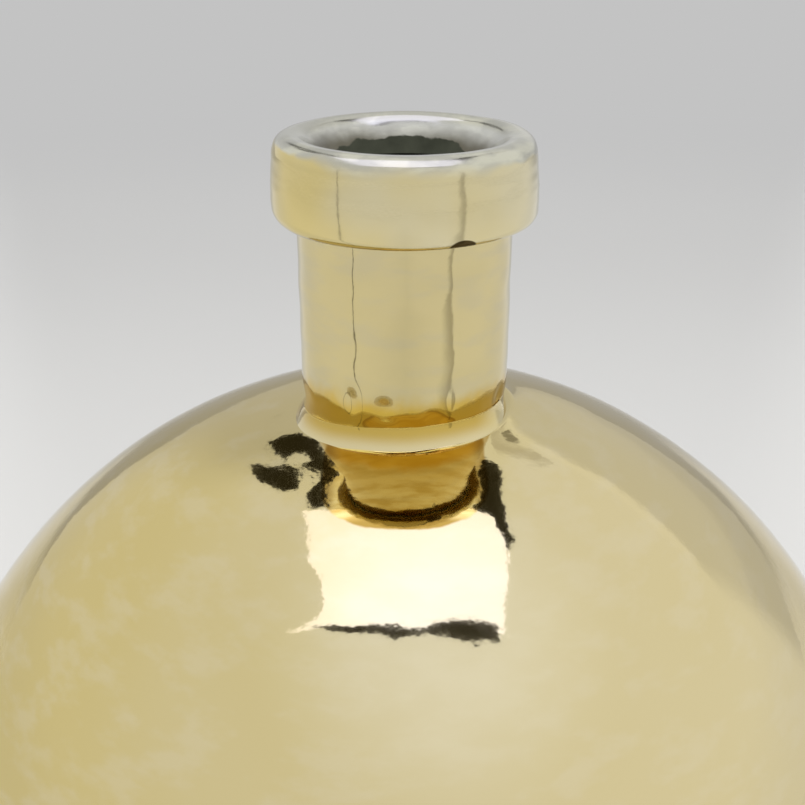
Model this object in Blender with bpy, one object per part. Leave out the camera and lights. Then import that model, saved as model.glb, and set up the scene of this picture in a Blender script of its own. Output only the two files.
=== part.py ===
"""Blown glass vase, silvered and lacquered gold: a globe with a straight neck, a ring of glass at the
neck's foot, a thick round-lipped collar at its mouth and a felt pad under the foot.

Units are metres. The vase stands on z = 0 with its axis on the world's Z axis, +Z up.
Every piece is a turned shape: a profile of (radius, height) points, spun once round the axis.
"""
import math

import bpy

MM = 0.001

# Facets of every turned piece
TURN_STEPS = 64
ARC_STEP_DEGREES = 15.0
GLOBE_STEP_DEGREES = 5.0
COARSE_STEP_DEGREES = 45.0

# Clearance that stands for each fused or glued seam between two pieces
SEAM = 0.3 * MM

# Globe, blown glass, pressed flat at the foot
GLOBE_DIAMETER = 300.0 * MM
GLOBE_WALL = 3.5 * MM
FOOT_DIAMETER = 95.0 * MM
FOOT_THICKNESS = 6.0 * MM
PUNT_DIAMETER = 56.0 * MM
PUNT_RISE = 3.0 * MM

# Neck, a tube with a slight waist just above the ring at its foot
NECK_DIAMETER = 56.4 * MM
NECK_WALL = 4.2 * MM
WAIST_DEPTH = 0.4 * MM
WAIST_TOP = 11.0 * MM
SWELL_TOP = 19.0 * MM

# Ring of glass wound round the neck's foot
RING_THICKNESS = 2.7 * MM
RING_HEIGHT = 7.6 * MM
RING_LOW_ROUND = 2.6 * MM
RING_LOW_TUCK = 1.3 * MM

# Collar, a thick wrap of glass that ends in the lip
COLLAR_DIAMETER = 69.6 * MM
COLLAR_HEIGHT = 23.6 * MM
COLLAR_RISE = 51.4 * MM
COLLAR_LOW_ROUND = 5.6 * MM
COLLAR_LOW_FLAT = 0.6 * MM
CREST_DIAMETER = 58.0 * MM
CREST_ROUND = 6.4 * MM
MOUTH_DIAMETER = 40.6 * MM
MOUTH_SLOPE = 7.6 * MM
LIP_THICKNESS = 10.0 * MM

# Felt pad glued under the foot
FELT_DIAMETER = 84.0 * MM
FELT_THICKNESS = 1.5 * MM
FELT_EDGE_ROUND = 0.4 * MM

# Radii and heights that follow from the sizes above
globe_radius = GLOBE_DIAMETER / 2
cavity_radius = globe_radius - GLOBE_WALL
foot_radius = FOOT_DIAMETER / 2
foot_height = FELT_THICKNESS + SEAM
globe_centre = foot_height + math.sqrt(globe_radius ** 2 - foot_radius ** 2)
floor_height = foot_height + FOOT_THICKNESS

neck_radius = NECK_DIAMETER / 2
waist_radius = neck_radius - WAIST_DEPTH
bore_radius = waist_radius - NECK_WALL
seat_height = globe_centre + math.sqrt(globe_radius ** 2 - waist_radius ** 2)

collar_radius = COLLAR_DIAMETER / 2
crest_radius = CREST_DIAMETER / 2
mouth_radius = MOUTH_DIAMETER / 2
collar_bottom = seat_height + COLLAR_RISE
collar_top = collar_bottom + COLLAR_HEIGHT
lip_underside = collar_top - LIP_THICKNESS


def clear_scene():
    for item in list(bpy.data.objects):
        bpy.data.objects.remove(item, do_unlink=True)


def arc(centre, radii, start_degrees, end_degrees, step_degrees=ARC_STEP_DEGREES):
    """Points along part of an ellipse, from one angle to another, both ends included."""
    count = max(2, math.ceil(abs(end_degrees - start_degrees) / step_degrees - 0.01))
    points = []
    for index in range(count + 1):
        angle = math.radians(start_degrees + (end_degrees - start_degrees) * index / count)
        points.append((centre[0] + radii[0] * math.cos(angle), centre[1] + radii[1] * math.sin(angle)))
    return points


def sphere_arc(radius, start, end):
    """Points down or up a sphere about the globe's centre, from one (radius, height) point to another."""
    angles = [math.degrees(math.atan2(point[1] - globe_centre, point[0])) for point in (start, end)]
    to_widest = arc((0, globe_centre), (radius, radius), angles[0], 0, GLOBE_STEP_DEGREES)
    from_widest = arc((0, globe_centre), (radius, radius), 0, angles[1], GLOBE_STEP_DEGREES)
    return [start] + to_widest[1:] + from_widest[1:-1] + [end]


def principled(name, colour, roughness, metallic=0.0):
    material = bpy.data.materials.new(name)
    material.use_nodes = True
    shader = material.node_tree.nodes["Principled BSDF"]
    shader.inputs["Base Color"].default_value = (*colour, 1.0)
    shader.inputs["Roughness"].default_value = roughness
    shader.inputs["Metallic"].default_value = metallic
    return material


def turned(name, profile, material, closed=True):
    """Spin a profile round Z. A closed profile is a ring; an open one starts and ends on the axis."""
    edges = [(index, index + 1) for index in range(len(profile) - 1)]
    if closed:
        edges.append((len(profile) - 1, 0))
    mesh = bpy.data.meshes.new(name)
    mesh.from_pydata([(radius, 0.0, height) for radius, height in profile], edges, [])
    mesh.materials.append(material)
    item = bpy.data.objects.new(name, mesh)
    bpy.context.collection.objects.link(item)
    screw = item.modifiers.new("Turn", "SCREW")
    screw.axis = "Z"
    screw.angle = math.tau
    screw.steps = TURN_STEPS
    screw.render_steps = TURN_STEPS
    screw.use_merge_vertices = True
    screw.merge_threshold = 0.00001
    screw.use_smooth_shade = True
    return item


def globe_body():
    """Shell with a flat seat for the neck at the top and a foot pressed flat round a shallow punt."""
    punt_radius = PUNT_DIAMETER / 2
    floor_radius = math.sqrt(cavity_radius ** 2 - (globe_centre - floor_height) ** 2)
    inner_rim = (bore_radius, globe_centre + math.sqrt(cavity_radius ** 2 - bore_radius ** 2))
    inside = arc((0, floor_height), (punt_radius, PUNT_RISE), 90, 0)
    inside += sphere_arc(cavity_radius, (floor_radius, floor_height), inner_rim)
    outside = [(bore_radius, seat_height)]
    outside += sphere_arc(globe_radius, (waist_radius, seat_height), (foot_radius, foot_height))
    outside += arc((0, foot_height), (punt_radius, PUNT_RISE), 0, 90)
    material = principled("gold_over_silver_globe", (0.74, 0.60, 0.30), 0.05, 1.0)
    return turned("globe_body", inside + outside, material, closed=False)


def neck_tube():
    """Tube that stands on the globe's seat and ends inside the collar, under the lip."""
    top = lip_underside - SEAM
    bottom = seat_height + SEAM
    outside = [(neck_radius, top), (neck_radius, seat_height + SWELL_TOP)]
    outside += [(waist_radius + WAIST_DEPTH / 2, seat_height + (SWELL_TOP + WAIST_TOP) / 2)]
    outside += [(waist_radius, seat_height + WAIST_TOP), (waist_radius, bottom)]
    inside = [(bore_radius, bottom), (bore_radius, top)]
    material = principled("gold_over_silver_neck", (0.72, 0.60, 0.33), 0.06, 1.0)
    return turned("neck_tube", outside + inside, material)


def neck_ring():
    """Bead of glass round the neck's foot, lying on the globe's shoulder."""
    inner = waist_radius + SEAM
    tuck = inner + RING_THICKNESS - RING_LOW_TUCK
    shoulder = globe_radius + SEAM
    low_inner = (inner, globe_centre + math.sqrt(shoulder ** 2 - inner ** 2))
    low_outer = globe_centre + math.sqrt(shoulder ** 2 - tuck ** 2)
    widest = low_outer + RING_LOW_ROUND
    upper = arc((inner, widest), (RING_THICKNESS, RING_HEIGHT - RING_LOW_ROUND), 90, 0)
    lower = arc((tuck, widest), (RING_LOW_TUCK, RING_LOW_ROUND), 0, -90)
    material = principled("gold_over_silver_ring", (0.73, 0.59, 0.29), 0.06, 1.0)
    return turned("neck_ring", upper + lower[1:] + [low_inner], material)


def lip_collar():
    """Thick collar, hollow below for the neck's end, with the mouth through its round lip."""
    socket_radius = neck_radius + SEAM
    slope_width = crest_radius - mouth_radius
    crest_width = collar_radius - crest_radius
    low_centre = socket_radius + COLLAR_LOW_FLAT
    low_width = collar_radius - low_centre
    lip = arc((crest_radius, collar_top - MOUTH_SLOPE), (slope_width, MOUTH_SLOPE), 180, 90)
    lip += arc((crest_radius, collar_top - CREST_ROUND), (crest_width, CREST_ROUND), 90, 0)[1:]
    low = arc((low_centre, collar_bottom + COLLAR_LOW_ROUND), (low_width, COLLAR_LOW_ROUND), 0, -90)
    socket = [(socket_radius, collar_bottom), (socket_radius, lip_underside), (mouth_radius, lip_underside)]
    material = principled("gold_and_silver_collar", (0.70, 0.62, 0.42), 0.08, 1.0)
    return turned("lip_collar", lip + low + socket, material)


def base_felt():
    """Round felt pad under the foot, the only piece that touches the table."""
    radius = FELT_DIAMETER / 2
    rim = radius - FELT_EDGE_ROUND
    rounding = (FELT_EDGE_ROUND, FELT_EDGE_ROUND)
    top = arc((rim, FELT_THICKNESS - FELT_EDGE_ROUND), rounding, 90, 0, COARSE_STEP_DEGREES)
    bottom = arc((rim, FELT_EDGE_ROUND), rounding, 0, -90, COARSE_STEP_DEGREES)
    profile = [(0.0, FELT_THICKNESS)] + top + bottom + [(0.0, 0.0)]
    material = principled("dark_grey_felt", (0.06, 0.06, 0.065), 0.95)
    return turned("base_felt", profile, material, closed=False)


def main():
    clear_scene()
    globe_body()
    neck_tube()
    neck_ring()
    lip_collar()
    base_felt()


main()
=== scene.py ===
# %% [markdown]
# A blown glass vase with a gold mirror finish. It is a round globe with a short neck, a ring of glass round
# the neck's foot and a thick collar whose lip is bare silver. The CAD model gives every size. This lesson
# dresses it: finer glass with the small unevenness of hand work, the finishes, and a studio to mirror.
#
# A mirror has hardly any colour of its own. What the camera sees is the studio, bent by the glass, so the
# studio and the shape matter as much as the materials.

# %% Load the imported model
import math

import bpy
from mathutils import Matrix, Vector, noise


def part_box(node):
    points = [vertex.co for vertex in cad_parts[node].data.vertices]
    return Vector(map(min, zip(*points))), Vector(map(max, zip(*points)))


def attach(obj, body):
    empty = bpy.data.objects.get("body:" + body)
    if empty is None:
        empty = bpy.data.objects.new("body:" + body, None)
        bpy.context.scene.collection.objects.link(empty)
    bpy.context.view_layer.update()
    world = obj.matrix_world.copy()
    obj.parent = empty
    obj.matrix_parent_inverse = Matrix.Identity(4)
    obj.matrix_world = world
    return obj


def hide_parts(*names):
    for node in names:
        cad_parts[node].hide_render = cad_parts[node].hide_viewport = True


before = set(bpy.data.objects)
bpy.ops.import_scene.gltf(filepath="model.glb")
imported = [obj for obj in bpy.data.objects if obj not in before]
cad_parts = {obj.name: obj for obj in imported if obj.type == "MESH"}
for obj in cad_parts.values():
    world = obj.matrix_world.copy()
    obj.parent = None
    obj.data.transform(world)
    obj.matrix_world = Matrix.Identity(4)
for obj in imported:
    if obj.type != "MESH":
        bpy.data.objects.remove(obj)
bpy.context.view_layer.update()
MM = 0.001

# %% [markdown]
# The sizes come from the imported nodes, so the dressed vase stands exactly where the CAD one does. Only the
# few sizes that a box can't tell, such as the foot's flat and the walls, are repeated from the part.

# %% Measure the nodes
globe_low, globe_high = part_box("globe_body")
neck_low, neck_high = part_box("neck_tube")
ring_low, ring_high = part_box("neck_ring")
collar_low, collar_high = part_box("lip_collar")
felt_low, felt_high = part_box("base_felt")

FOOT_RADIUS = 47.5 * MM
PUNT_RADIUS = 28.0 * MM
PUNT_RISE = 3.0 * MM
GLASS_WALL = 3.5 * MM
FLOOR_THICKNESS = 6.0 * MM
BORE_RADIUS = 23.6 * MM
CREST_RADIUS = 29.5 * MM
MOUTH_RADIUS = 20.3 * MM

globe_radius = globe_high.x
globe_centre = globe_low.z + math.sqrt(globe_radius ** 2 - FOOT_RADIUS ** 2)
seat = globe_high.z
neck_radius = neck_high.x
print(f"globe radius {globe_radius / MM:.1f} mm, its centre {globe_centre / MM:.1f} mm up")
print(f"neck radius {neck_radius / MM:.1f} mm, standing {seat / MM:.1f} mm up")
print(f"neck's lower end {neck_low.z / MM:.1f} mm up, collar radius {collar_high.x / MM:.1f} mm")
print(f"ring radius {ring_high.x / MM:.1f} mm, from {ring_low.z / MM:.1f} to {ring_high.z / MM:.1f} mm up")
print(f"felt {(felt_high.z - felt_low.z) / MM:.1f} mm thick")

# %% [markdown]
# The camera stands close to the vase, a little above the lip, and looks down on it by about 24 degrees. Being
# so close is what makes the globe swell towards the bottom of the picture. The place and the lens were
# worked out from the vase's outlines in the photograph.

# %% Set the camera
lens = bpy.data.cameras.new("camera")
lens.sensor_width = 36.0
lens.lens = 51.43
lens.clip_start = 0.02
camera = bpy.data.objects.new("camera", lens)
camera.location = (-0.54 * MM, -294.3 * MM, globe_centre + 276.3 * MM)
camera.rotation_euler = (math.radians(90.0 - 23.7), 0.0, 0.0)
bpy.context.scene.collection.objects.link(camera)
bpy.context.scene.camera = camera
bpy.context.scene.view_settings.view_transform = "Standard"
print("camera at, mm:", [round(place / MM, 1) for place in camera.location])

# %% [markdown]
# Shader maths. A finish is a small tree of nodes, and wiring it link by link hides the idea. One class wraps
# a socket, so that arithmetic on it adds the Math nodes: 1 - mask reads as it does on paper. Every other node
# comes from its node() method, and colours are mixed by a Mix node, because a Math node would turn them grey.

# %% Write shader maths as arithmetic
class Wire:
    """A socket in a material's tree."""

    def __init__(self, tree, socket=None):
        self.tree = tree
        self.socket = socket

    def node(self, kind, settings, feeds, output=0):
        """Add a node, set it up, then feed its sockets with numbers, colours or other wires."""
        made = self.tree.nodes.new(kind)
        for name, value in settings.items():
            setattr(made, name, value)
        for name, value in feeds.items():
            if isinstance(value, Wire):
                self.tree.links.new(value.socket, made.inputs[name])
            else:
                made.inputs[name].default_value = value
        return Wire(self.tree, made.outputs[output])

    def sum(self, operation, first, second):
        return self.node("ShaderNodeMath", {"operation": operation}, {0: first, 1: second})

    def __add__(self, other):
        return self.sum("ADD", self, other)

    def __sub__(self, other):
        return self.sum("SUBTRACT", self, other)

    def __rsub__(self, other):
        return self.sum("SUBTRACT", other, self)

    def __mul__(self, other):
        return self.sum("MULTIPLY", self, other)

    __radd__ = __add__
    __rmul__ = __mul__


def colour(red, green, blue):
    return (red, green, blue, 1.0)


def grey(level):
    return colour(level, level, level)


def blend_colours(mask, low, high):
    """The colour low where the mask is 0, high where it is 1."""
    return mask.node("ShaderNodeMix", {"data_type": "RGBA"}, {0: mask, 6: low, 7: high}, output=2)


def ease(value, start, end):
    """0 before start, 1 past end, and a soft slope between them."""
    smooth = {"interpolation_type": "SMOOTHSTEP"}
    return value.node("ShaderNodeMapRange", smooth, {0: value, 1: start, 2: end})


def absolute(value):
    return value.node("ShaderNodeMath", {"operation": "ABSOLUTE"}, {0: value})


def vector_length(vector):
    return vector.node("ShaderNodeVectorMath", {"operation": "LENGTH"}, {0: vector}, output="Value")


def patches(place, size, detail=2.0):
    """Soft random patches about size metres across, from 0 to 1."""
    return place.node("ShaderNodeTexNoise", {}, {"Vector": place, "Scale": 1.0 / size, "Detail": detail})


def stretched(place, across, along, up):
    """The same place, with each axis multiplied, to draw patches out or squeeze them."""
    return place.node("ShaderNodeVectorMath", {"operation": "MULTIPLY"}, {0: place, 1: (across, along, up)})


def split(place):
    """The x, y and z of a place, as three wires."""
    return [place.node("ShaderNodeSeparateXYZ", {}, {0: place}, output=axis) for axis in range(3)]


# %% [markdown]
# The studio is a light tent: pale cloth on all sides, a soft box let into its roof, and a pale table. The
# cloth could be lamps, but plain glowing sheets give a mirror clean, noiseless shapes. The camera doesn't see
# them. In the photograph's view the table runs back into the grey of the room with no horizon.

# %% Make sheets for the studio
def new_material(name):
    """A material with an empty tree, a wire to start from and its output node."""
    material = bpy.data.materials.new(name)
    material.use_nodes = True
    material.node_tree.nodes.clear()
    output = material.node_tree.nodes.new("ShaderNodeOutputMaterial")
    return material, Wire(material.node_tree), output


def glow(name, tint, strength):
    material, start, output = new_material(name)
    light = start.node("ShaderNodeEmission", {}, {"Color": colour(*tint), "Strength": strength})
    material.node_tree.links.new(light.socket, output.inputs["Surface"])
    return material


def studio_mesh(name, corners, faces, material):
    """A mesh of the studio, which only the mirror and the light see."""
    mesh = bpy.data.meshes.new(name)
    mesh.from_pydata([tuple(corner) for corner in corners], [], faces)
    mesh.materials.append(material)
    item = bpy.data.objects.new(name, mesh)
    bpy.context.scene.collection.objects.link(item)
    item.visible_camera = False
    return item


def sheet(name, corners, material):
    return studio_mesh(name, corners, [tuple(range(len(corners)))], material)


def unlit(item):
    """A card that the mirror shows but that neither lights nor shades anything."""
    item.visible_diffuse = False
    item.visible_shadow = False
    return item


# %% [markdown]
# The soft box hangs above and a little behind the vase. Seen from the vase's shoulder, a thing in the roof
# is placed by how far it leans to the right and to the back for each metre of height, and one helper turns
# such slopes into corners. The lamp itself is hidden from the mirror. A cloth face just below it is what the
# globe shows, so the light on the table and the white in the mirror can each have their own strength.

# %% Hang the soft box
ROOF = 1.30
FACE_HEIGHT = ROOF - 0.005
CLOTH_HEIGHT = ROOF - 0.01
shoulder = Vector((0.0, -40.0 * MM, 285.0 * MM))


def in_roof(slopes, height):
    """Corners at a height, from their slopes to the right and to the back as the shoulder sees them."""
    rise = height - shoulder.z
    return [(shoulder.x + right * rise, shoulder.y + back * rise, height) for right, back in slopes]


box_right = [
    (0.46, -0.22), (0.45, -0.13), (0.44, -0.02), (0.44, 0.25), (0.44, 0.36), (0.42, 0.49), (0.37, 0.47),
]
box_left = [
    (-0.42, 0.58), (-0.40, 0.38), (-0.39, 0.22), (-0.35, 0.09),
    (-0.33, -0.04), (-0.35, -0.10), (-0.42, -0.14),
]
box_front = [(-0.51, -0.16), (-0.32, -0.17), (-0.22, -0.18), (-0.08, -0.22), (0.05, -0.23), (0.30, -0.22)]
box_edge = box_right + box_left + box_front
lamp = sheet("soft_box", in_roof(box_edge, ROOF), glow("soft_box_light", (1.0, 0.98, 0.92), 3.4))
lamp.visible_glossy = False
box_cloth = glow("soft_box_cloth", (0.85, 0.84, 1.0), 1.97)
unlit(sheet("soft_box_face", in_roof(box_edge, FACE_HEIGHT), box_cloth))
print(f"soft box with {len(box_edge)} corners, {ROOF:.2f} m up")

# %% [markdown]
# Black cloth shows beside the box, where the roof is cut open for it, and one scrap of grey cloth further
# back. Each is a plain card just below the roof. Its corners run along one side and back along the other,
# and they are ragged, because the globe mirrors torn-looking shapes there.

# %% Hang the cloths
black_cloth = glow("black_cloth", (1.0, 0.85, 0.45), 0.03)
front_top = [
    (-0.41, -0.15), (-0.22, -0.16), (-0.08, -0.20), (0.05, -0.22),
    (0.15, -0.19), (0.29, -0.18), (0.42, -0.20),
]
front_low = [
    (0.45, -0.26), (0.37, -0.26), (0.32, -0.29), (0.10, -0.24),
    (-0.04, -0.26), (-0.16, -0.22), (-0.31, -0.18),
]
right_near = [
    (0.25, 0.49), (0.28, 0.56), (0.29, 0.70), (0.33, 0.79),
    (0.32, 0.83), (0.35, 0.88), (0.42, 0.83), (0.39, 0.74),
]
right_far = [
    (0.39, 0.60), (0.42, 0.48), (0.44, 0.35), (0.47, 0.30),
    (0.44, 0.22), (0.42, 0.31), (0.38, 0.34), (0.37, 0.40),
]
left_near = [
    (-0.79, 2.12), (-0.74, 2.30), (-0.70, 2.32), (-0.57, 1.80),
    (-0.52, 1.56), (-0.43, 1.15), (-0.36, 0.88), (-0.33, 0.60),
]
left_low = [
    (-0.39, 0.61), (-0.41, 0.80), (-0.39, 0.87), (-0.42, 0.93),
    (-0.49, 1.08), (-0.53, 1.18), (-0.49, 1.19),
]
left_far = [(-0.54, 1.36), (-0.60, 1.53), (-0.62, 1.50), (-0.61, 1.33), (-0.66, 1.55), (-0.72, 1.80)]
lobe_near = [(-0.73, 1.50), (-0.66, 1.39), (-0.60, 1.30), (-0.55, 1.20), (-0.50, 1.07), (-0.45, 0.93)]
lobe_far = [(-0.45, 0.87), (-0.53, 0.90), (-0.60, 1.03), (-0.66, 1.16), (-0.71, 1.33)]
cloths = {
    "cloth_front": front_top + front_low,
    "cloth_right": right_near + right_far,
    "cloth_left": left_near + left_low + left_far,
    "cloth_lobe": lobe_near + lobe_far,
}
for name, edge in cloths.items():
    unlit(sheet(name, in_roof(edge, CLOTH_HEIGHT), black_cloth))
scrap = [(0.48, 1.18), (0.51, 1.24), (0.56, 1.31), (0.58, 1.29), (0.53, 1.20)]
unlit(sheet("cloth_scrap", in_roof(scrap, CLOTH_HEIGHT), glow("grey_cloth", (1.0, 0.95, 0.85), 0.35)))
print("cloths hung:", ", ".join(cloths), "and a scrap")

# %% [markdown]
# The tent is a dome of glowing cloth. It reaches the table in front and at the sides. At the back its rim
# ends a little above the level of the vase's shoulder, and below the rim the mirror shows the grey of the
# room. The cloth is brighter on the right, dimmer near the back rim and a little dimmer down by the table.

# %% Dye the tent's cloth
TENT_RADIUS = 4.0
DIM_AT_BACK = 0.25
DIM_BY_TABLE = 0.06


def tent_cloth():
    material, start, output = new_material("tent_cloth")
    place = start.node("ShaderNodeTexCoord", {}, {}, output="Object")
    right, back, up = split(place)
    side = ease(right, -TENT_RADIUS, TENT_RADIUS)
    at_right = ease(right, -0.5, 1.0)
    behind = back - 1.32 * (up - shoulder.z)
    back_left = ease(behind, -0.9, 1.1) * ease(right, -2.5, -1.25)
    above_rim = 1 - 0.28 * ease(up, 0.62, 0.88)
    back_right = ease(behind, -0.12, 0.15) * ease(back - 0.75 * right, -1.0, -0.25) * above_rim
    back_wall = back_right * at_right + back_left * (1 - at_right)
    by_table = 1 - ease(up, 0.1, 1.3)
    strength = (0.94 + 0.08 * side) * (1 - DIM_AT_BACK * back_wall) * (1 - DIM_BY_TABLE * by_table)
    light = place.node("ShaderNodeEmission", {}, {"Color": grey(1.0), "Strength": strength})
    material.node_tree.links.new(light.socket, output.inputs["Surface"])
    return material


# %% Raise the tent
RIM_IN_FRONT = -4.1
RIM_LIFT_BEHIND = 9.5
RIM_LEAN_BEHIND = 4.5


def tent():
    """A dome from rim to crown. The rim, in degrees above the shoulder, is highest at the back left."""
    rows, around = 24, 96
    points = []
    faces = []
    for row in range(rows):
        for turn in range(around):
            angle = math.tau * turn / around
            at_back = min(max((math.cos(angle) - 0.80) / 0.12, 0.0), 1.0)
            lift = RIM_LIFT_BEHIND - RIM_LEAN_BEHIND * math.sin(angle)
            rim = math.radians(RIM_IN_FRONT + lift * at_back)
            tilt = rim + (math.pi / 2 - rim) * row / rows
            flat, high = TENT_RADIUS * math.cos(tilt), shoulder.z + TENT_RADIUS * math.sin(tilt)
            points.append((flat * math.sin(angle), flat * math.cos(angle), high))
    points.append((0.0, 0.0, shoulder.z + TENT_RADIUS))
    for row in range(rows - 1):
        for turn in range(around):
            here, beside = row * around + turn, row * around + (turn + 1) % around
            faces.append((here, beside, beside + around, here + around))
    last = (rows - 1) * around
    for turn in range(around):
        faces.append((last + turn, last + (turn + 1) % around, len(points) - 1))
    item = studio_mesh("tent", points, faces, tent_cloth())
    item.data.shade_smooth()
    print(f"tent: {len(points)} points")


tent()

# %% [markdown]
# Soft-edged bands give the mirror its quiet lines: a dark seam at the front left, a shaded fold at the front
# right, a pale seam at the back right and a dim fold beside it. A band is a strip of faces with a v
# coordinate across it, and by that v its material fades to clear at both edges. Where the crest lies near
# one edge, the band looks sharp there and soft on its other side.

# %% Weave the bands
SHARP_CREST = 0.82
SOFT_CREST = 0.5


def band_material(name, tint, strength, cover, crest):
    """A glow that covers most at its crest, a share of the way across, and fades to clear at both edges."""
    material, start, output = new_material(name)
    across = split(start.node("ShaderNodeTexCoord", {}, {}, output="UV"))[1]
    fade = ease(across, 0.0, crest) * (1 - ease(across, crest, 1.0))
    clear = start.node("ShaderNodeBsdfTransparent", {}, {})
    light = start.node("ShaderNodeEmission", {}, {"Color": colour(*tint), "Strength": strength})
    both = start.node("ShaderNodeMixShader", {}, {0: fade * cover, 1: clear, 2: light})
    material.node_tree.links.new(both.socket, output.inputs["Surface"])
    return material


def band(name, one_side, other_side, material):
    """A strip between two rows of points, its v running from the first row to the second."""
    count = len(one_side)
    faces = [(step, step + 1, count + step + 1, count + step) for step in range(count - 1)]
    item = studio_mesh(name, one_side + other_side, faces, material)
    across = item.data.uv_layers.new(name="across")
    for corner, loop in enumerate(item.data.loops):
        across.data[corner].uv = (0.5, 0.0 if loop.vertex_index < count else 1.0)
    return unlit(item)


# %% Stretch the bands in front
STAND_REACH = (0.22, 0.5, 0.95, 0.95, 0.95)
STAND_HEIGHT = (0.004, 0.004, 0.004, 0.06, 0.6)


def on_stand(azimuths):
    """A line on the table from near the vase out, then straight up, at azimuths from the camera's side."""
    line_points = []
    for azimuth, reach, height in zip(azimuths, STAND_REACH, STAND_HEIGHT):
        angle = math.radians(azimuth)
        line_points.append(Vector((math.sin(angle) * reach, -math.cos(angle) * reach, height)))
    return line_points


seam_cloth = band_material("seam_left", (1.0, 0.9, 0.7), 0.10, 1.0, SOFT_CREST)
band("seam_left", on_stand([-56.2] * 5), on_stand([-54.4] * 5), seam_cloth)
fold_cloth = band_material("fold_right", (1.0, 0.95, 0.85), 0.30, 0.56, SHARP_CREST)
fold_near = on_stand([34.0, 34.0, 36.0, 44.0, 47.0])
fold_far = on_stand([54.0, 54.0, 54.0, 52.5, 52.0])
band("fold_right", fold_near, fold_far, fold_cloth)
print(f"bands in front reach {max(STAND_REACH):.2f} m out")

# %% Stretch the bands behind
SEAM_DISTANCE = 3.0
FOLD_DISTANCE = 2.9


def aloft(slopes, distance):
    """Points at a distance from the shoulder, by slopes to the right and the back, as in the roof."""
    return [shoulder + Vector((right, back, 1.0)).normalized() * distance for right, back in slopes]


pale_cloth = band_material("seam_back", (1.0, 1.0, 1.0), 1.05, 0.8, SHARP_CREST)
pale_low = aloft([(0.45, 1.65), (0.58, 1.58), (0.83, 1.49), (1.33, 1.43), (2.0, 1.47)], SEAM_DISTANCE)
pale_high = aloft([(0.45, 1.35), (0.58, 1.28), (0.83, 1.19), (1.33, 1.13), (2.0, 1.17)], SEAM_DISTANCE)
band("seam_back", pale_low, pale_high, pale_cloth)
dim_cloth = band_material("fold_back", (1.0, 0.95, 0.85), 0.55, 0.6, SOFT_CREST)
dim_low = aloft([(0.40, 1.26), (0.50, 1.24), (0.60, 1.24), (0.70, 1.20)], FOLD_DISTANCE)
dim_high = aloft([(0.40, 0.92), (0.50, 0.94), (0.60, 1.00), (0.70, 1.14)], FOLD_DISTANCE)
band("fold_back", dim_low, dim_high, dim_cloth)
print(f"bands behind hang {FOLD_DISTANCE} and {SEAM_DISTANCE} m from the shoulder")

# %% [markdown]
# The table is pale paper, a little darker round the vase than further out in front and at the sides, and
# behind the vase painted shade dims it to the grey of the room, where the lamp's light falls off. The lamp
# doesn't reach far out, so a glowing haze takes over there. It is the room's grey at the back, where it hides
# the horizon in the photograph's view, and nearly white elsewhere.

# %% Lay the table
ROOM_GREY = 0.546


def table_top():
    material, start, output = new_material("table_pale")
    place = start.node("ShaderNodeTexCoord", {}, {}, output="Object")
    right, back = split(place)[:2]
    aside = absolute(right)
    # Painted shade behind the vase, where the lamp's light falls off.
    shade_behind_vase = ease(back, -0.5, 1.25) * (1 - ease(aside - 0.36 * back, 0.04, 0.35))
    paper = blend_colours(ease(back - 1.6 * aside, -1.7, -0.5), grey(0.93), grey(0.82))
    paper_and_shade = blend_colours(shade_behind_vase, paper, grey(0.565))
    board = place.node("ShaderNodeBsdfDiffuse", {}, {"Color": paper_and_shade, "Roughness": 1.0})
    from_front = place.node("ShaderNodeVectorMath", {"operation": "ADD"}, {0: place, 1: (0.0, 1.4, 0.0)})
    at_back = ease(back - 0.8 * aside, -0.6, 1.0)
    far_behind = ease(vector_length(from_front), 2.7, 3.6) * at_back
    far_elsewhere = ease(vector_length(place), 2.0, 3.8) * (1 - at_back)
    far = far_behind + far_elsewhere
    haze_grey = blend_colours(at_back, grey(0.92), grey(ROOM_GREY))
    haze = place.node("ShaderNodeEmission", {}, {"Color": haze_grey, "Strength": 1.0})
    both = place.node("ShaderNodeMixShader", {}, {0: far, 1: board, 2: haze})
    material.node_tree.links.new(both.socket, output.inputs["Surface"])
    return material


TABLE_REACH = 12.0
quarters = [(-1, -1), (1, -1), (1, 1), (-1, 1)]
table_corners = [(right * TABLE_REACH, back * TABLE_REACH, 0.0) for right, back in quarters]
table = sheet("table", table_corners, table_top())
table.visible_camera = True

room = bpy.data.worlds.new("room")
room.use_nodes = True
room.node_tree.nodes["Background"].inputs["Color"].default_value = grey(1.0)
room.node_tree.nodes["Background"].inputs["Strength"].default_value = ROOM_GREY
bpy.context.scene.world = room
print(f"table {2 * TABLE_REACH:.0f} m across, the room's grey {ROOM_GREY}")

# %% [markdown]
# Every piece of the vase is turned: an outline of (radius, height) points, spun round the axis. A lathe or
# Screw modifier would do that, but blown glass is never quite round. So the outline may change with the
# angle, and a second function pushes each point in or out by fractions of a millimetre.

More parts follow.
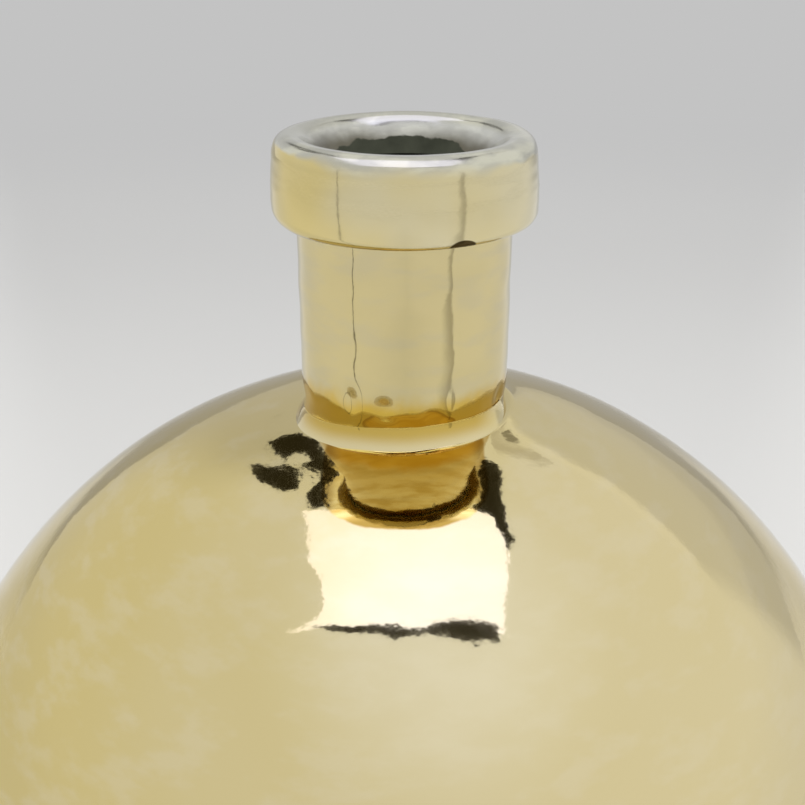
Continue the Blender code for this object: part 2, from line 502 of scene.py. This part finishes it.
# %% Turn an outline that may change with the angle
def turned(name, outline_at, around, uneven, materials, slot_of):
    """Spin a closed outline. A point on the axis is one vertex, and slot_of picks each band's material."""
    first = outline_at(0.0)
    rows = []
    points = []
    for index in range(len(first)):
        on_axis = first[index][0] < 1e-6
        rows.append([len(points) + step for step in range(1 if on_axis else around)])
        points.extend([None] * len(rows[-1]))
    for step in range(around):
        angle = math.tau * step / around
        toward = Vector((math.sin(angle), -math.cos(angle), 0.0))
        outline = outline_at(angle)
        count = len(outline)
        for index, (radius, height) in enumerate(outline):
            if len(rows[index]) == 1 and step:
                continue
            spot = toward * radius + Vector((0.0, 0.0, height))
            before, after = outline[index - 1], outline[(index + 1) % count]
            run, rise = after[0] - before[0], after[1] - before[1]
            length = math.hypot(run, rise) or 1.0
            out = toward * (rise / length) - Vector((0.0, 0.0, run / length))
            if len(rows[index]) > 1:
                spot += out * uneven(spot, index)
            points[rows[index][step if len(rows[index]) > 1 else 0]] = spot
    faces = []
    slots = []
    for index in range(len(first)):
        lower, upper = rows[index], rows[(index + 1) % len(first)]
        if len(lower) == 1 and len(upper) == 1:
            continue
        for step in range(around):
            onward = (step + 1) % around
            if len(lower) == 1:
                faces.append((lower[0], upper[onward], upper[step]))
            elif len(upper) == 1:
                faces.append((lower[step], lower[onward], upper[0]))
            else:
                faces.append((lower[step], lower[onward], upper[onward], upper[step]))
            slots.append(slot_of(index))
    mesh = bpy.data.meshes.new(name)
    mesh.from_pydata([tuple(point) for point in points], [], faces)
    for material in materials:
        mesh.materials.append(material)
    mesh.polygons.foreach_set("material_index", slots)
    mesh.shade_smooth()
    item = bpy.data.objects.new(name, mesh)
    bpy.context.scene.collection.objects.link(item)
    print(f"{name}: {len(points)} points, {len(faces)} faces")
    return item


# %% Draw arcs, lines and curves for the outlines
def arc(centre, radii, start, end, count):
    """Points of part of an ellipse, angles in degrees, 0 outwards and 90 upwards."""
    angles = [math.radians(start + (end - start) * index / count) for index in range(count + 1)]
    return [(centre[0] + radii[0] * math.cos(a), centre[1] + radii[1] * math.sin(a)) for a in angles]


def line(start, end, count):
    """Points from start up to, but without, end."""
    return [
        (start[0] + (end[0] - start[0]) * index / count, start[1] + (end[1] - start[1]) * index / count)
        for index in range(count)
    ]


def part_way(p, q, r, s, t):
    """One coordinate of a smooth spline, a share t of the way from q to r, with p before and s after."""
    square, cube = 2 * p - 5 * q + 4 * r - s, 3 * q - p - 3 * r + s
    return 0.5 * (2 * q + (r - p) * t + square * t ** 2 + cube * t ** 3)


def curve(knots, between):
    """A smooth line through the knots, with some points between each two."""
    ends = [knots[0]] + knots + [knots[-1]]
    points = []
    for a, b, c, d in zip(ends, ends[1:], ends[2:], ends[3:]):
        for step in range(between):
            points.append(tuple(part_way(p, q, r, s, step / between) for p, q, r, s in zip(a, b, c, d)))
    return points + [knots[-1]]


def swelling(place, size, depth, seed, squash=1.0):
    """A soft random swelling, about size metres across and depth metres deep."""
    shift = Vector((seed * 7.3, seed * 3.1, seed * 5.7))
    return depth * noise.noise(Vector((place.x, place.y, place.z * squash)) / size + shift)


# %% [markdown]
# The gold finish. On the real vase the glass is silvered, and a clear yellow lacquer over the silver makes
# the gold. A metal with a lacquer coat does both: the metal carries the gold, the coat adds the pale grey
# shine at shallow angles. The lacquer lies a little thicker on the left, so the tint changes slowly round the
# vase. A greyer mist lies in level streaks. One place on the front of the shoulder, near the soft box's
# mirror image, is painted paler as a painted highlight. A very fine bump gives the skin that breaks up the
# edges of what is mirrored.

# %% Start a finish
def feed(material, name, wire):
    shader = material.node_tree.nodes["Principled BSDF"]
    material.node_tree.links.new(wire.socket, shader.inputs[name])


def new_finish(name, metallic, coat, coat_roughness):
    material = bpy.data.materials.new(name)
    material.use_nodes = True
    shader = material.node_tree.nodes["Principled BSDF"]
    shader.inputs["Metallic"].default_value = metallic
    shader.inputs["Coat Weight"].default_value = coat
    shader.inputs["Coat Roughness"].default_value = coat_roughness
    shader.inputs["Coat IOR"].default_value = 1.5
    start = Wire(material.node_tree)
    return material, start.node("ShaderNodeTexCoord", {}, {}, output="Object")


def skin(place, peel, depth):
    """The fine unevenness of sprayed lacquer, as a normal."""
    grain = patches(place, peel, 2.0)
    return place.node("ShaderNodeBump", {}, {"Strength": 1.0, "Distance": depth, "Height": grain})


def far_from(place, point):
    distance = {"operation": "DISTANCE"}
    return place.node("ShaderNodeVectorMath", distance, {0: place, 1: point}, output="Value")


def reach_from_axis(place):
    return vector_length(stretched(place, 1, 1, 0))


# %% Mix the gold
MIST_COVER = 0.38
# A paler patch near the soft box's mirror image on the globe's front shoulder: a painted highlight.
PAINTED_GLOW_AT = (0.008, -0.080, 0.271)
PAINTED_GLOW_GOLD = colour(0.73, 0.65, 0.43)


def gold(name, pale, deep, mist, painted_light, edge_tint):
    """Pale gold, deeper to the left, misty in places, and painted paler in one place as a painted highlight.
    The function passed in lays painted amber reflections and glints over it.
    """
    material, place = new_finish(name, metallic=1.0, coat=0.15, coat_roughness=0.04)
    thick = ease(patches(place, 0.09, 1.0) - split(place)[0] * 2.4, 0.15, 0.85)
    tint = blend_colours(thick, colour(*pale), colour(*deep))
    clouds = patches(stretched(place, 1.0, 1.0, 3.0), 0.014, 4.0)
    tint = blend_colours(ease(clouds, 0.45, 0.68) * MIST_COVER, tint, colour(*mist))
    # Painted highlight: the gold is made paler round one point near the soft box's mirror image.
    painted_glow = (1 - ease(far_from(place, PAINTED_GLOW_AT), 0.010, 0.048)) * (0.55 + 0.7 * clouds)
    # Painted amber reflections and glints from the function passed in are laid over the tint here.
    tint = painted_light(place, blend_colours(painted_glow, tint, PAINTED_GLOW_GOLD))
    shader = material.node_tree.nodes["Principled BSDF"]
    shader.inputs["Specular Tint"].default_value = colour(*edge_tint)
    feed(material, "Base Color", tint)
    feed(material, "Roughness", 0.03 + 0.05 * patches(place, 0.02, 3.0))
    feed(material, "Normal", skin(place, 0.004, 0.00003))
    return material


# %% Darken the inside
def inside_glass():
    """The back of the silvering, seen through the glass from inside: dark and olive."""
    material, place = new_finish("inside_glass", metallic=0.0, coat=0.0, coat_roughness=0.1)
    clouded = patches(place, 0.008, 4.0)
    feed(material, "Base Color", blend_colours(clouded, colour(0.13, 0.14, 0.10), colour(0.20, 0.21, 0.16)))
    feed(material, "Roughness", 0.10 + 0.15 * clouded)
    return material


dark_inside = inside_glass()

# %% [markdown]
# Amber is painted in three places: in a bowl below the ring, on the narrow foot of the neck, and on the
# ring's joint and flare. All of it is painted reflection or painted highlight. On the real vase the bowl is
# mostly the neck mirrored in the globe, gold in gold, and the neck's foot shows gold in gold as well. Here
# that mirror alone comes out too pale, so amber is laid on the globe in the shape that the mirror has from
# the front. It is a compromise: it doesn't move with the view as a mirror would, and from above it shows as a
# patch. On the ring, amber at the joint grades into a pale painted highlight on its edge, and the bright
# amber in its flare is a painted glint.

# %% Paint the amber reflections and glints
BOWL_HALF_WIDTH = 0.0206
BOWL_TURN = 0.0432
BOWL_DROP = 0.0140


def painted_reflection_below_ring(place, tint):
    """A painted reflection of the neck: amber in the shape of a bowl on the front of the shoulder, with
    straight sides, a round end and a darker rim.
    """
    right, back, up = split(place)
    front = back * -1.0
    wide = right * right * (1.0 / BOWL_HALF_WIDTH ** 2)
    beyond = front.sum("MAXIMUM", front - BOWL_TURN, 0.0) * (1.0 / BOWL_DROP)
    low = beyond * beyond
    wander = (patches(place, 0.006, 2.0) - 0.5) * 0.2
    bowl = (1 - ease(wide + low + wander, 0.95, 1.05)) * ease(front, 0.0, 0.012)
    streaks = ease(patches(stretched(place, 1.0, 3.0, 1.0), 0.009, 3.0), 0.35, 0.65)
    amber = blend_colours(streaks, colour(0.62, 0.42, 0.095), colour(0.72, 0.52, 0.15))
    amber = blend_colours(ease(front, 0.038, 0.046) * streaks, amber, colour(0.82, 0.64, 0.24))
    amber = blend_colours(ease(low, 0.35, 0.65), amber, colour(0.37, 0.24, 0.04))
    amber = blend_colours(ease(wide + wander, 0.60, 0.90), amber, colour(0.40, 0.26, 0.06))
    return blend_colours(bowl * ease(up, globe_centre, seat), tint, amber)


def painted_reflection_on_foot(place, tint):
    """A painted reflection, gold in gold: amber on the narrow foot of the neck, fading out between 8 and 14
    mm above the seat.
    """
    ragged = (patches(place, 0.008, 3.0) - 0.5) * 0.008
    foot = 1 - ease(split(place)[2] + ragged, seat + 0.0080, seat + 0.0140)
    return blend_colours(foot, tint, colour(0.55, 0.37, 0.055))


def painted_shine_on_ring(place, tint):
    """Painted light on the ring: amber at its joint grading into a pale painted highlight on its edge, a
    bright amber painted glint in its flare, and none at the right.
    """
    reach = reach_from_axis(place)
    amber = blend_colours(ease(reach, 0.0278, 0.0305), colour(0.51, 0.36, 0.08), colour(0.65, 0.56, 0.32))
    amber = blend_colours(ease(reach, 0.0305, 0.0309), amber, colour(0.80, 0.62, 0.17))
    return blend_colours(ease(split(place)[0], 0.018, 0.027), amber, tint)


# %% Make the three golds
globe_gold = gold(
    "gold_on_globe",
    pale=(0.65, 0.56, 0.33),
    deep=(0.61, 0.50, 0.21),
    mist=(0.67, 0.59, 0.39),
    painted_light=painted_reflection_below_ring,
    edge_tint=(0.84, 0.82, 0.78),
)
neck_gold = gold(
    "gold_on_neck",
    pale=(0.585, 0.505, 0.285),
    deep=(0.565, 0.475, 0.235),
    mist=(0.48, 0.43, 0.29),
    painted_light=painted_reflection_on_foot,
    edge_tint=(1.0, 1.0, 1.0),
)
ring_gold = gold(
    "gold_on_ring",
    pale=(0.63, 0.54, 0.29),
    deep=(0.61, 0.51, 0.235),
    mist=(0.68, 0.61, 0.42),
    painted_light=painted_shine_on_ring,
    edge_tint=(1.0, 1.0, 1.0),
)
print("golds mixed:", globe_gold.name, neck_gold.name, ring_gold.name)

# %% [markdown]
# The lip is bare silver: the lacquer stops below it in an uneven line, lower on the right. Inside the mouth
# the silver darkens downwards, then ends in a ragged edge above the dark inside of the glass, which is
# darkened further as painted shade. That edge is highest in the middle and lower towards both sides, more so
# on the right. The lip's inner edge on the near side has painted shade, and so has the collar's underside,
# with a small painted dark reflection low at its front right. It is all one piece of glass, so one material
# carries it, with a mask for each edge made from the height and some noise.

# %% Polish the silver and paint the collar's shade and dark reflection
FUNNEL_RADIUS = 0.0262
NEAR_SHADE_RADIUS = 0.0290
DARK_SPOT_SQUASH = 1.7


def bare_silver(place, back, reach):
    """Streaked silver: dull on the crest, brighter in the funnel, with painted shade on the near side's inner
    edge.
    """
    streaks = ease(patches(stretched(place, 1.0, 1.0, 3.0), 0.011, 3.0), 0.42, 0.62)
    crest_silver = blend_colours(streaks, colour(0.45, 0.445, 0.38), colour(0.58, 0.57, 0.465))
    funnel_silver = blend_colours(streaks, colour(0.53, 0.53, 0.49), colour(0.64, 0.64, 0.58))
    silver = blend_colours(ease(FUNNEL_RADIUS - reach, 0.0, 0.0015), crest_silver, funnel_silver)
    # Painted shade on the near side's inner edge of the lip.
    near_edge_shade = ease(NEAR_SHADE_RADIUS - reach, 0.0, 0.0015) * (1 - ease(back, -0.022, -0.008))
    return blend_colours(near_edge_shade, silver, colour(0.28, 0.275, 0.25))


def painted_shade_below(place, up, reach, wander, outside):
    """The collar's tint with painted shade on its underside, and a painted dark reflection as a small spot
    low on its front right.
    """
    foot = collar_low.z
    # Painted shade on the collar's underside, near its foot.
    underside_shade = ease(0.0338 - reach + wander * 0.3, 0.0, 0.0006) * (1 - ease(up, foot + 0.003, foot + 0.004))
    outside = blend_colours(underside_shade, outside, colour(0.14, 0.09, 0.018))
    # A painted dark reflection: a small dark spot low on the collar's front right.
    dark_spot_centre = (0.0138, -0.0317, (foot + 0.0016) * DARK_SPOT_SQUASH)
    dark_spot_reach = far_from(stretched(place, 1.0, 1.0, DARK_SPOT_SQUASH), dark_spot_centre)
    painted_dark_spot = 1 - ease(dark_spot_reach + wander * 0.4, 0.0036, 0.0040)
    return blend_colours(painted_dark_spot, outside, colour(0.06, 0.04, 0.012))


# %% Mix the collar's finish
def silver_to_gold():
    """Gold on the side, bare silver on the lip, then a darkening downwards and dark glass with painted shade
    inside the mouth.
    """
    material, place = new_finish("silver_lip_gold_collar", metallic=1.0, coat=0.15, coat_roughness=0.04)
    right, back, up = split(place)
    top = collar_high.z
    reach = reach_from_axis(place)
    aside = absolute(right)
    wander = (patches(place, 0.014, 3.0) - 0.5) * 0.004
    edge = top - 0.0028 - right * 0.03 + wander
    crisp = 1.0 + 3.0 * ease(aside, 0.018, 0.030)
    bare = ease((up - edge) * crisp, -0.0032, 0.0012)
    inner = ease(CREST_RADIUS - reach, 0.0, 0.001)
    silver_place = 1 - (1 - bare) * (1 - inner)
    thick = ease(patches(place, 0.03, 2.0) - right * 9.0, 0.2, 0.8)
    gold_tint = blend_colours(thick, colour(0.61, 0.55, 0.36), colour(0.60, 0.49, 0.20))
    outside = blend_colours(silver_place, gold_tint, bare_silver(place, back, reach))
    ragged = (patches(place, 0.007, 4.0) - 0.5) * 0.005
    # Inside the mouth below the silver: dark glass, darkened further as painted shade.
    shaded_inside = ease(top - 0.0046 - aside * 0.168 - right * 0.027 + ragged - up, -0.0002, 0.0002) * inner
    clouded = patches(place, 0.006, 4.0)
    dark_glass_and_shade = blend_colours(clouded, colour(0.02, 0.022, 0.014), colour(0.08, 0.085, 0.06))
    # Darker downwards into the mouth.
    darker_downwards = ease(top - up + aside * 0.05 - right * 0.03 + ragged * 0.6, 0.0025, 0.0078) * inner
    outside = blend_colours(darker_downwards, outside, colour(0.13, 0.12, 0.09))
    outside = painted_shade_below(place, up, reach, wander, outside)
    feed(material, "Base Color", blend_colours(shaded_inside, outside, dark_glass_and_shade))
    feed(material, "Roughness", 0.05 + 0.07 * patches(place, 0.004, 3.0) + 0.10 * silver_place)
    feed(material, "Normal", skin(place, 0.003, 0.00002))
    return material


collar_finish = silver_to_gold()
print("collar's finish mixed:", collar_finish.name)

# %% [markdown]
# The felt pad is pressed wool. Short fibres are noise drawn out and laid two ways, and they raise the
# surface as well as mottle its grey.

# %% Mix the felt
def felt():
    material, place = new_finish("pressed_felt", metallic=0.0, coat=0.0, coat_roughness=0.5)
    one_way = patches(stretched(place, 1.0, 5.0, 5.0), 0.003, 3.0)
    other_way = patches(stretched(place, 5.0, 1.0, 5.0), 0.003, 3.0)
    fibres = (one_way + other_way) * 0.5
    wool = blend_colours(fibres, colour(0.035, 0.035, 0.038), colour(0.12, 0.12, 0.125))
    nap = fibres.node("ShaderNodeBump", {}, {"Strength": 1.0, "Distance": 0.0004, "Height": fibres})
    feed(material, "Base Color", wool)
    feed(material, "Roughness", 0.9 + 0.1 * fibres)
    feed(material, "Normal", nap)
    return material


felt_finish = felt()

# %% [markdown]
# How round is hand-blown glass? The globe swells and sinks by a tenth of a millimetre or two over a hand's
# width, which nobody would see on a plain surface. On a mirror it bends every edge, so it is part of the
# shape and not only a bump in the material. On the left the ring sags and the globe's shoulder is pressed in
# below it. At the right the ring has melted into a soft fillet. At the front the shoulder stands out by half
# a millimetre, and that changes the shape of the neck that is mirrored there.

# %% Shape the shoulder
SAG_DEPTH = 4.4 * MM
SAG_LIFT = 0.3 * MM
SAG_SIDE = math.radians(85.0)
FUSED_SIDE = math.radians(95.0)
FUSED_SPREAD = math.radians(35.0)
RAISED_BY = 0.5 * MM
RAISED_FROM, RAISED_MOST, RAISED_TO = 41.0, 56.0, 130.0


def sag(angle):
    """How far the ring has sunk at an angle: most at the left, about level in front, raised at the right."""
    return SAG_DEPTH * (0.5 + 0.5 * math.cos(angle + SAG_SIDE)) ** 4 - SAG_LIFT


def fused(angle):
    """How far the ring has melted into the neck and the globe: wholly at the right, nowhere else."""
    away = math.remainder(angle - FUSED_SIDE, math.tau)
    return math.exp(-((away / FUSED_SPREAD) ** 2))


def raised(across, angle):
    """How far the front of the shoulder stands out from a true globe, at a distance across from the axis."""
    if across < RAISED_MOST * MM:
        share = max(across / MM - RAISED_FROM, 0.0) / (RAISED_MOST - RAISED_FROM)
        shape = 0.5 - 0.5 * math.cos(math.pi * share)
    else:
        share = min((across / MM - RAISED_MOST) / (RAISED_TO - RAISED_MOST), 1.0)
        shape = 0.5 + 0.5 * math.cos(math.pi * share)
    return RAISED_BY * (0.5 + 0.5 * math.cos(angle)) ** 2 * shape


print(f"the ring sags {sag(-SAG_SIDE) / MM:.1f} mm at the left and {sag(0.0) / MM:.1f} mm in front")

# %% Draw the globe's outline
def globe_outline(angle):
    """From the punt under the foot up the outside to the neck, then down the inside to the floor."""
    top_angle = math.degrees(math.asin((neck_radius - 0.4 * MM) / globe_radius))
    foot_angle = 180.0 - math.degrees(math.asin(FOOT_RADIUS / globe_radius))
    cavity = globe_radius - GLASS_WALL
    floor = globe_low.z + FLOOR_THICKNESS
    floor_radius = math.sqrt(cavity ** 2 - (globe_centre - floor) ** 2)
    centre = (0.0, globe_centre)
    inside_top = 90.0 - math.degrees(math.asin(BORE_RADIUS / cavity))
    inside_foot = -90.0 + math.degrees(math.asin(floor_radius / cavity))
    points = arc((0.0, globe_low.z), (PUNT_RADIUS, PUNT_RISE), 90.0, 0.0, 8)
    points += line((PUNT_RADIUS + 1.0 * MM, globe_low.z), (FOOT_RADIUS - 1.5 * MM, globe_low.z), 4)
    points += [(FOOT_RADIUS - 1.5 * MM, globe_low.z), (FOOT_RADIUS - 0.2 * MM, globe_low.z + 0.25 * MM)]
    points += arc(centre, (globe_radius, globe_radius), 90.0 - foot_angle + 1.0, 10.0, 60)
    points += arc(centre, (globe_radius, globe_radius), 11.0, 90.0 - top_angle, 120)
    points += line((neck_radius - 0.8 * MM, seat), (BORE_RADIUS, seat), 3)
    points += arc(centre, (cavity, cavity), inside_top, inside_foot, 26)
    points += line((floor_radius - 2.0 * MM, floor), (0.0, floor), 4)
    points += [(0.0, floor)]
    return points


# %% Blow the globe
GLOBE_WORKED = range(14, 196)
GLOBE_LAST_GILDED = 197
PRESSED_SHARE = 0.72
PRESSED_WIDTH = 34.0 * MM
FILLET_HEIGHT = 1.8 * MM
FILLET_WIDTH = 3.5 * MM


def globe_uneven(place, index):
    """How far hand work has moved a point of the outside. The foot and the inside stay true."""
    if index not in GLOBE_WORKED:
        return 0.0
    across = math.hypot(place.x, place.y)
    angle = math.atan2(place.x, -place.y)
    shoulder_shape = 0.0
    if place.z > globe_centre:
        pressed = PRESSED_SHARE * sag(angle) * math.exp(-(((across - neck_radius) / PRESSED_WIDTH) ** 2))
        fillet = FILLET_HEIGHT * fused(angle) * math.exp(-(across - neck_radius) / FILLET_WIDTH)
        shoulder_shape = fillet + raised(across, angle) - pressed
    waves = swelling(place, 55.0 * MM, 0.45 * MM, 1) + swelling(place, 17.0 * MM, 0.10 * MM, 2)
    return min(waves - 0.2 * MM, 0.0) + shoulder_shape


globe = turned(
    "globe_glass",
    globe_outline,
    360,
    globe_uneven,
    [globe_gold, dark_inside],
    lambda index: 0 if index <= GLOBE_LAST_GILDED else 1,
)
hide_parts("globe_body")
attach(globe, "root")

# %% [markdown]
# The neck is a drawn tube. It narrows to a waist above the ring, and that waist is what shows the dark gold
# band, a mirror in a mirror. Amber painted on the foot deepens that band as a painted reflection. Its waves
# are finer than the globe's, and a few small dents near the foot are where tongs gripped the glass.

# %% Narrow and dent the neck
WAIST_DEPTH = 0.7 * MM
WAIST_HEIGHT = 3.5 * MM
WAIST_SPREAD = 3.8 * MM


def waist(height):
    """The neck's outer radius at a height above the seat."""
    return neck_radius - WAIST_DEPTH * math.exp(-(((height - WAIST_HEIGHT) / WAIST_SPREAD) ** 2))


# Where the tongs gripped: angle, height above the seat, half-width, half-height and depth of each dent
grip_marks = [
    (-29.0, 10.4, 2.2, 4.0, 0.50),
    (-10.5, 9.9, 3.2, 2.8, 0.50),
    (-9.0, 7.0, 3.2, 0.8, 0.12),
    (25.0, 11.0, 0.9, 2.6, 0.10),
    (64.0, 7.0, 2.4, 2.6, 0.50),
]


def neck_waves(place):
    angle = math.degrees(math.atan2(place.x, -place.y))
    dents = 0.0
    for mark_angle, mark_height, half_width, half_height, depth in grip_marks:
        aside = math.radians(math.remainder(angle - mark_angle, 360.0)) * neck_radius / MM / half_width
        above = ((place.z - seat) / MM - mark_height) / half_height
        dents += depth * MM * math.exp(-(aside ** 2 + above ** 2))
    foot = math.exp(-(((place.z - seat - 7.5 * MM) / (5.0 * MM)) ** 2))
    dents -= foot * swelling(place, 5.5 * MM, 0.15 * MM, 9)
    return swelling(place, 14.0 * MM, 0.20 * MM, 3, 1.6) + swelling(place, 5.0 * MM, 0.05 * MM, 4) - dents


# %% Draw the neck
NECK_ROWS = 84
NECK_START = 0.3 * MM


def neck_outline(angle):
    """Up the outside of the tube, then down its bore. The bore is plain, so it needs fewer points."""
    top = neck_high.z - seat
    heights = [NECK_START + (top - NECK_START) * step / NECK_ROWS for step in range(NECK_ROWS + 1)]
    outer = [(waist(height), seat + height) for height in heights]
    inner = [(BORE_RADIUS, seat + height) for height in reversed(heights[::6])]
    return outer + inner


neck = turned(
    "neck_glass",
    neck_outline,
    320,
    lambda place, index: neck_waves(place) if index <= NECK_ROWS else 0.0,
    [neck_gold, dark_inside],
    lambda index: 0 if index < NECK_ROWS else 1,
)
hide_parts("neck_tube")
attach(neck, "root")

# %% [markdown]
# The ring is a bead of glass wound round the neck's foot while both were soft, so its upper side runs into
# the neck without a corner: at each height it is the neck's own radius plus a share that fades to nothing.
# On the left it sags with the globe's shoulder, and at the right it has melted away. Its lower end flares out
# to the globe in a few short steps. They are widest at the front, where they catch an amber streak of light,
# brightened by a painted amber glint.

# %% Wind the ring
RING_OUT = 2.6 * MM
RING_LEFT_OUT = 0.3 * MM
RING_CREST = -0.2 * MM
RING_TOP = 4.9 * MM
RING_DEPTH = 2.2 * MM
RING_INSET = 1.2 * MM
RING_WORKED = range(2, 26)
FLARE_LEANS = (46.0, 54.0, 57.0, 59.0, 62.0, 70.0, 80.0)
FLARE_SPREAD = 13.0


def ring_outline(angle):
    """The face first, then a flare from its lower end outwards to the globe, widest at the front."""
    lower = sag(angle)
    aside = math.degrees(math.remainder(angle, math.tau)) + 1.0
    flare_step = (0.03 + 0.19 * math.exp(-((aside / FLARE_SPREAD) ** 2))) * MM
    out = RING_LEFT_OUT + (RING_OUT - RING_LEFT_OUT) * (1.0 - fused(angle))
    points = []
    for step in range(17):
        share = step / 16
        height = RING_CREST + (RING_TOP - RING_CREST) * share
        points.append((waist(height - lower) + out * (1.0 - share) ** 1.3, seat + height - lower))
    flare = [points[0]]
    for lean in FLARE_LEANS:
        across, down = math.sin(math.radians(lean)), math.cos(math.radians(lean))
        flare.append((flare[-1][0] + flare_step * across, flare[-1][1] - flare_step * down))
    inset = waist(0.0) - RING_INSET
    bottom = seat - RING_DEPTH - lower
    inner = [(inset, seat + height * MM - lower) for height in (4.0, 2.0, 0.0)]
    return [(inset, bottom), (flare[-1][0], bottom)] + flare[:0:-1] + points + inner


ring = turned(
    "ring_glass",
    ring_outline,
    320,
    lambda place, index: neck_waves(place) if index in RING_WORKED else 0.0,
    [ring_gold],
    lambda index: 0,
)
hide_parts("neck_ring")
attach(ring, "root")

# %% [markdown]
# The collar is a thick wrap of glass whose edge was rolled over into a soft lip, broader at the front than at
# the back. Its side leans in towards a tight lower corner, and the lip bends quickly into a funnel that ends
# in a short inner sleeve. One smooth curve through a few points draws it. The waves on it are low and long,
# because the glass is thick.

# %% Draw the collar's outline
WALL = [(34.78, -16.0), (34.7, -13.0), (34.5, -10.4), (34.25, -7.8)]
ROUND_LIP = [
    (34.0, -5.2), (33.65, -3.3), (33.0, -1.8), (32.0, -0.8), (30.8, -0.28), (29.5, -0.09), (28.5, -0.2),
]
BROAD_LIP = [
    (34.12, -5.7), (33.95, -4.1), (33.5, -2.65), (32.85, -1.95), (31.7, -1.15), (29.9, -0.5), (28.7, -0.5),
]
FUNNEL = [
    (27.2, -0.6), (26.1, -1.2), (25.2, -2.0), (24.3, -3.1),
    (23.4, -4.5), (22.4, -6.1), (21.4, -7.8), (20.4, -9.6),
]
COLLAR_SEAT_RADIUS = 27.6 * MM
COLLAR_SIDE = 34.7 * MM
FUNNEL_DEPTH = 10.0 * MM
SLEEVE_DEPTH = 13.0 * MM
SLEEVE_RADIUS = BORE_RADIUS - 0.2 * MM


def collar_outline(angle):
    """The lower corner is tight at the front and soft at the left, and the foot of the collar isn't level."""
    top = collar_high.z
    turn = math.sin(angle)
    corner = (1.5 + 2.4 * turn ** 2 - 0.9 * turn) * MM
    foot = collar_low.z + (0.86 + 0.8 * math.cos(angle) + 0.3 * turn) * MM
    broad = (0.5 + 0.5 * math.cos(angle)) ** 2
    lip = [(a[0] + (b[0] - a[0]) * broad, a[1] + (b[1] - a[1]) * broad) for a, b in zip(ROUND_LIP, BROAD_LIP)]
    knots = [(radius * MM, top + height * MM) for radius, height in WALL + lip + FUNNEL]
    low = [(COLLAR_SEAT_RADIUS, foot)]
    low += arc((COLLAR_SIDE - corner, foot + corner), (corner, corner), -90.0, 0.0, 12)
    sleeve = [(MOUTH_RADIUS, top - FUNNEL_DEPTH), (MOUTH_RADIUS, top - SLEEVE_DEPTH)]
    sleeve += [(SLEEVE_RADIUS, top - SLEEVE_DEPTH), (SLEEVE_RADIUS, top - FUNNEL_DEPTH)]
    return low + curve(knots, 4) + sleeve + [(COLLAR_SEAT_RADIUS, top - FUNNEL_DEPTH)]


# %% Roll the collar
COLLAR_WORKED = range(2, 85)


def collar_waves(place, index):
    if index not in COLLAR_WORKED:
        return 0.0
    ripples = swelling(place, 10.0 * MM, 0.05 * MM, 8, 5.0) + swelling(place, 5.0 * MM, 0.025 * MM, 6)
    return min(swelling(place, 22.0 * MM, 0.24 * MM, 5) + ripples - 0.1 * MM, 0.0)


collar = turned("collar_glass", collar_outline, 320, collar_waves, [collar_finish], lambda index: 0)
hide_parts("lip_collar")
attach(collar, "root")

# %% [markdown]
# The felt pad under the foot is never seen while the vase stands, but a part is judged from below too. Its
# rim is cut, so it is only slightly rounded, and the wool makes it a little uneven.

# %% Cut the felt pad
FELT_EDGE = 0.4 * MM


def felt_outline(angle):
    radius, thick, edge = felt_high.x, felt_high.z, FELT_EDGE
    points = [(0.0, 0.0)] + line((6.0 * MM, 0.0), (radius - edge, 0.0), 6)
    points += arc((radius - edge, edge), (edge, edge), -90.0, 0.0, 4)
    points += arc((radius - edge, thick - edge), (edge, edge), 0.0, 90.0, 4)
    points += line((radius - 3.0 * MM, thick), (6.0 * MM, thick), 6) + [(6.0 * MM, thick), (0.0, thick)]
    return points


def felt_uneven(place, index):
    """Wool only ever sinks in from the cut shape, so that the pad stays within its size."""
    return -0.03 * MM * abs(noise.noise(place / (1.5 * MM)))


pad = turned("felt_pad", felt_outline, 128, felt_uneven, [felt_finish], lambda index: 0)
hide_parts("base_felt")
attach(pad, "root")
